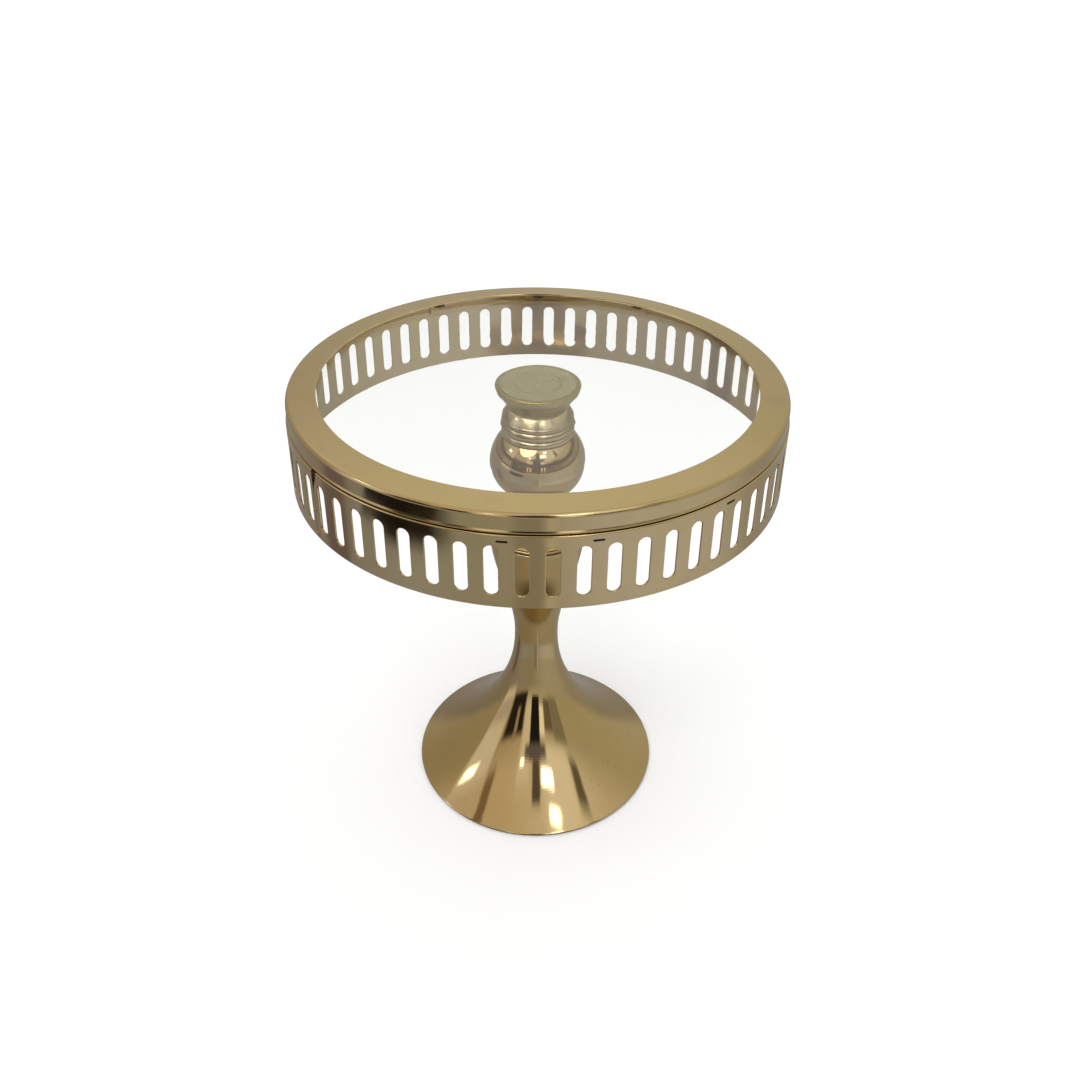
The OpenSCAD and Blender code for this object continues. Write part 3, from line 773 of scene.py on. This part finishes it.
# ------------------------------------------------------------------ tie rod with a real thread at its foot
def rod():
    r, pitch, depth = 4.0, 1.25, 0.62
    seg, zt = 64, ROD_Z0 + 46
    verts, faces = [], []
    zs, step = [], pitch / 10
    z = ROD_Z0
    while z < zt:
        zs.append(z)
        z += step
    zs += [zt, zt + 1.0, ROD_Z1 - 0.8, ROD_Z1]
    for z in zs:
        for k in range(seg):
            a = 2 * math.pi * k / seg
            u = ((z - ROD_Z0) / pitch - k / seg) % 1.0
            tri = abs(2 * u - 1)
            cut = depth * min(max(1.15 * tri - 0.08, 0.0), 1.0)
            fade = min(max((zt - z) / 2.0, 0.0), 1.0)
            rr = r - cut * fade
            rr = min(rr, r - 0.8 + (z - ROD_Z0)) if z < ROD_Z0 + 0.8 else rr
            if z >= ROD_Z1 - 1e-6:
                rr = r - 0.8
            verts.append((rr * MM * math.cos(a), rr * MM * math.sin(a), z * MM))
    for i in range(len(zs) - 1):
        for k in range(seg):
            a, b = i * seg + k, i * seg + (k + 1) % seg
            faces.append((a, b, b + seg, a + seg))
    faces.append(list(range(seg))[::-1])
    faces.append([(len(zs) - 1) * seg + k for k in range(seg)])
    mesh = bpy.data.meshes.new("tie_rod_threaded")
    mesh.from_pydata(verts, [], faces)
    return finish_mesh(mesh, 60)


link("tie_rod_threaded", rod(), ZINC, ("tie_rod",))


# ------------------------------------------------------------------ carried-over CAD pieces
def assign(node, mat, sharp=28):
    ob = nodes[node]
    if not ob.material_slots:
        ob.data.materials.append(mat)
    for s in ob.material_slots:
        s.material = mat


for n in ("clamp_cup", "flat_washer", "spring_washer", "hex_nut", "tulip_plate"):
    assign(n, ZINC)
assign("foot_grip_ring", RUBBER)
assign("stem_gasket", RUBBER)
assign("seam_strap", DARK)
assign("seam_rivets", GOLD_STRIP)

# ------------------------------------------------------------------ floor
m, nt, b = material("floor_paper")
tc = nt.nodes.new("ShaderNodeTexCoord")
n1 = noise(nt, tc.outputs["Object"], 3.0, 3.0, 0.5)
nt.links.new(mix_colour(nt, n1, (0.91, 0.91, 0.905), (0.94, 0.94, 0.935)), b.inputs["Base Color"])
b.inputs["Roughness"].default_value = 0.75
bm = bmesh.new()
bmesh.ops.create_circle(bm, cap_ends=True, segments=96, radius=12.0)
fm = bpy.data.meshes.new("floor")
bm.to_mesh(fm)
bm.free()
fm.materials.append(m)
floor = bpy.data.objects.new("floor", fm)
scene.collection.objects.link(floor)

# ------------------------------------------------------------------ camera
F, D, H, P, YAW, ROLL, CX = 1020.5, 3.7413, 1.8120, 0.6088, 0.0017, 0.0094, 0.0072
U = RIM_R * MM
d = Vector((math.sin(YAW) * math.cos(P), math.cos(YAW) * math.cos(P), -math.sin(P)))
r = d.cross(Vector((0, 0, 1))).normalized()
u = r.cross(d)
r2 = math.cos(ROLL) * r + math.sin(ROLL) * u
u2 = -math.sin(ROLL) * r + math.cos(ROLL) * u
cam = bpy.data.cameras.new("camera")
cam.sensor_width = 36.0
cam.lens = F / 1080 * 36.0
cam.clip_start = 0.01
cam_ob = bpy.data.objects.new("camera", cam)
scene.collection.objects.link(cam_ob)
rot = Matrix((r2, u2, -d)).transposed().to_4x4()
cam_ob.matrix_world = Matrix.Translation((CX * U, -D * U, H * U + STAND_H * MM)) @ rot
scene.camera = cam_ob

# ------------------------------------------------------------------ light
# A pale sweep for the camera, even white light for matt surfaces, and for reflections a plain studio:
# mid-grey table tone below, walls and ceiling above, dark flags, soft panels and two lamps.
# Directions are in degrees: azimuth 0 towards -Y, positive towards +X; elevation from the horizon.
world = bpy.data.worlds.new("studio")
scene.world = world
world.use_nodes = True
wn = world.node_tree
wn.nodes.clear()
w_out = wn.nodes.new("ShaderNodeOutputWorld")
w_bg = wn.nodes.new("ShaderNodeBackground")
wn.links.new(w_bg.outputs[0], w_out.inputs[0])
tc = wn.nodes.new("ShaderNodeTexCoord")
sep = wn.nodes.new("ShaderNodeSeparateXYZ")
wn.links.new(tc.outputs["Generated"], sep.inputs[0])
el = math2(wn, "MULTIPLY", math2(wn, "ARCSINE", sep.outputs["Z"]), 180 / math.pi)
az = math2(wn, "MULTIPLY", math2(wn, "ARCTAN2", sep.outputs["X"], math2(wn, "MULTIPLY", sep.outputs["Y"], -1.0)), 180 / math.pi)


def ramp(value, lo_, hi_, stops):
    t = ranged(wn, value, lo_, hi_, 0.0, 1.0)
    n = wn.nodes.new("ShaderNodeValToRGB")
    cr = n.color_ramp
    cr.interpolation = "B_SPLINE" if len(stops) > 3 else "LINEAR"
    while len(cr.elements) < len(stops):
        cr.elements.new(0.5)
    for e_, (p_, c_) in zip(cr.elements, stops):
        e_.position = (p_ - lo_) / (hi_ - lo_)
        e_.color = (*c_, 1.0)
    wn.links.new(t, n.inputs[0])
    return n.outputs[0]


def window(value, a0, a1, soft):
    up = ranged(wn, value, a0 - soft, a0 + soft, 0.0, 1.0, True)
    down = ranged(wn, value, a1 - soft, a1 + soft, 1.0, 0.0, True)
    return math2(wn, "MULTIPLY", up, down)


table = ramp(az, -180, 180, [(-180, (0.28, 0.26, 0.23)), (-125, (0.28, 0.26, 0.25)), (-96, (0.27, 0.275, 0.33)), (-66, (0.42, 0.44, 0.60)),
                             (-34, (0.37, 0.395, 0.44)), (-14, (0.38, 0.39, 0.44)), (10, (0.50, 0.50, 0.56)), (34, (0.64, 0.67, 0.88)),
                             (66, (0.60, 0.62, 0.72)), (90, (0.58, 0.60, 0.69)), (112, (0.37, 0.36, 0.34)), (180, (0.28, 0.26, 0.23))])
table_low = ramp(az, -180, 180, [(-180, (0.29, 0.27, 0.24)), (-120, (0.30, 0.28, 0.26)), (-60, (0.34, 0.30, 0.27)), (-15, (0.38, 0.34, 0.30)),
                                 (25, (0.46, 0.45, 0.43)), (90, (0.43, 0.41, 0.38)), (150, (0.36, 0.34, 0.31)), (180, (0.29, 0.27, 0.24))])
walls = ramp(az, -180, 180, [(-180, (0.56, 0.55, 0.50)), (-135, (0.40, 0.37, 0.31)), (-95, (0.42, 0.38, 0.31)), (-50, (0.56, 0.46, 0.40)),
                             (0, (0.62, 0.58, 0.56)), (60, (0.50, 0.48, 0.42)), (120, (0.52, 0.50, 0.41)), (180, (0.56, 0.55, 0.50))])
ceiling = ramp(az, -180, 180, [(-180, (0.78, 0.78, 0.74)), (-90, (0.68, 0.62, 0.56)), (-35, (0.70, 0.60, 0.51)), (15, (0.86, 0.82, 0.82)),
                               (40, (0.96, 0.96, 0.98)), (80, (0.68, 0.63, 0.58)), (130, (0.62, 0.60, 0.54)), (180, (0.78, 0.78, 0.74))])
env = mix_colour(wn, window(el, -37.9, -29.0, 1.6), table_low, table)
env = mix_colour(wn, ranged(wn, el, -31.5, -27.0, 0.0, 0.45, True), env, table)
env = mix_colour(wn, ranged(wn, el, -68.0, -56.0, 0.0, 1.0, True), (0.13, 0.095, 0.06), env)
env = mix_colour(wn, ranged(wn, el, -9.0, 1.0, 0.0, 1.0, True), env, walls)
env = mix_colour(wn, ranged(wn, el, 22.0, 44.0, 0.0, 1.0, True), env, ceiling)
PANELS = [  # azimuth from, to; elevation from, to; softness of each; colour
    (-10, 4, -39, -20, 2.5, 2.0, (0.31, 0.305, 0.33)),
    (4.5, 8.5, -50, -20, 1.2, 5.0, (0.60, 0.59, 0.60)),
    (-111, -95, -40, -22, 2.5, 3.0, (0.18, 0.145, 0.165)),
    (-62, -25, -3, 25, 3.0, 3.5, (0.03, 0.026, 0.026)),
    (-45, -39, 8, 27, 1.0, 3.0, (0.45, 0.36, 0.30)),
    (-180, 180, 79, 91, 1.0, 5.0, (0.55, 0.48, 0.42)),
    (-91, -66, -8, 37, 2.0, 5.0, (0.86, 0.84, 0.95)),
    (-91, -66, -2, 12, 2.0, 5.0, (0.60, 0.58, 0.68)),
    (-27, -10, 4, 46, 3.5, 6.0, (0.92, 0.86, 0.92)),
    (8, 18.5, 8, 27, 1.5, 3.0, (1.25, 1.22, 1.25)),
    (14, 52, 31, 75, 8.0, 5.0, (0.99, 0.98, 1.02)),
    (20, 37, 3, 24, 1.5, 3.0, (0.20, 0.18, 0.17)),
    (37, 57, 1, 27, 2.0, 4.0, (0.30, 0.28, 0.25)),
    (52, 61, 33, 47, 2.0, 4.0, (0.16, 0.15, 0.13)),
    (-64, -56, 36, 52, 1.5, 4.0, (0.28, 0.20, 0.15)),
    (-11.5, 8.5, 1, 37, 1.2, 2.5, (0.018, 0.018, 0.028)),
    (-19, 18, 31, 37, 3.0, 2.5, (0.16, 0.15, 0.20)),
    (-5, 6, 37, 52, 1.5, 2.0, (0.13, 0.11, 0.12)),
    (9, 25, 40.5, 46.5, 2.5, 1.5, (5.5, 5.5, 6.0)),
    (19, 31, 51.0, 55.0, 2.5, 1.5, (5.0, 5.0, 5.5)),
    (-24, -19, 36.5, 39.5, 1.5, 1.2, (5.0, 4.8, 5.0)),
    (-88, -80, 29.0, 33.0, 2.0, 1.2, (5.0, 4.9, 5.5)),
]
for a0, a1, e0, e1, sa, se, col in PANELS:
    env = mix_colour(wn, math2(wn, "MULTIPLY", window(az, a0, a1, sa), window(el, e0, e1, se)), env, col)
path = wn.nodes.new("ShaderNodeLightPath")
env = mix_colour(wn, path.outputs["Is Diffuse Ray"], env, (0.95, 0.95, 0.95))
env = mix_colour(wn, path.outputs["Is Camera Ray"], env, (1.0, 1.0, 1.0))
wn.links.new(env, w_bg.inputs["Color"])
w_bg.inputs["Strength"].default_value = 1.0


def flag(name, centre, width, height, turn, tilt, shade, soft_l, soft_r, soft_z):
    """Dark card, tilted back from upright, with feathered edges that only polished surfaces see."""
    m, nt, b = material(name)
    tc = nt.nodes.new("ShaderNodeTexCoord")
    n = noise(nt, tc.outputs["Object"], 5.0, 3.0, 0.6)
    nt.links.new(mix_colour(nt, ranged(nt, n, 0.4, 0.6, 0.0, 1.0), shade, tuple(0.6 * v for v in shade)), b.inputs["Emission Color"])
    b.inputs["Emission Strength"].default_value = 1.0
    b.inputs["Base Color"].default_value = (0, 0, 0, 1)
    b.inputs["Roughness"].default_value = 1.0
    b.inputs["Specular IOR Level"].default_value = 0.0
    sp = nt.nodes.new("ShaderNodeSeparateXYZ")
    nt.links.new(tc.outputs["Object"], sp.inputs[0])
    wob = ranged(nt, noise(nt, tc.outputs["Object"], 3.5, 2.0, 0.5), 0.3, 0.7, -0.06, 0.06)
    fx = math2(nt, "MULTIPLY", ranged(nt, sp.outputs["X"], -0.49, soft_l - 0.49, 0.0, 1.0, True), ranged(nt, math2(nt, "ADD", sp.outputs["X"], wob), 0.44 - soft_r, 0.44, 1.0, 0.0, True))
    fz = ranged(nt, math2(nt, "ABSOLUTE", math2(nt, "ADD", sp.outputs["Z"], wob)), 0.47 - soft_z, 0.47, 1.0, 0.0, True)
    out = [k for k in nt.nodes if k.type == "OUTPUT_MATERIAL"][0]
    clear = nt.nodes.new("ShaderNodeBsdfTransparent")
    mix = nt.nodes.new("ShaderNodeMixShader")
    nt.links.new(math2(nt, "MULTIPLY", fx, fz), mix.inputs[0])
    nt.links.new(clear.outputs[0], mix.inputs[1])
    nt.links.new(b.outputs[0], mix.inputs[2])
    nt.links.new(mix.outputs[0], out.inputs["Surface"])
    bm = bmesh.new()
    bmesh.ops.create_grid(bm, x_segments=1, y_segments=1, size=0.5, matrix=Matrix.Rotation(math.pi / 2, 4, "X"))
    me = bpy.data.meshes.new(name)
    bm.to_mesh(me)
    bm.free()
    me.materials.append(m)
    ob = bpy.data.objects.new(name, me)
    scene.collection.objects.link(ob)
    ob.matrix_world = Matrix.Translation(centre) @ Matrix.Rotation(math.radians(turn), 4, "Z") @ Matrix.Rotation(math.radians(tilt), 4, "X") @ Matrix.Diagonal((width, 1, height, 1))
    ob.visible_camera = ob.visible_diffuse = ob.visible_transmission = ob.visible_shadow = False
    return ob


# dark flag at the front left, near enough for the band and the top of the gallery to see it and the rest not to
flag("flag_left", (0.29 * math.sin(math.radians(-44.5)), -0.29 * math.cos(math.radians(44.5)), 0.153), 0.205, 0.0755, -46, 65, (0.020, 0.016, 0.016), 0.03, 0.22, 0.17)

sun = bpy.data.lights.new("key", "SUN")
sun.energy = 0.9
sun.angle = math.radians(38)
sun_ob = bpy.data.objects.new("key", sun)
scene.collection.objects.link(sun_ob)
sun_ob.rotation_euler = (math.radians(24), math.radians(-22), 0)
sun_ob.visible_glossy = False
floor.visible_glossy = False

scene.view_settings.view_transform = "Standard"
scene.view_settings.look = "None"
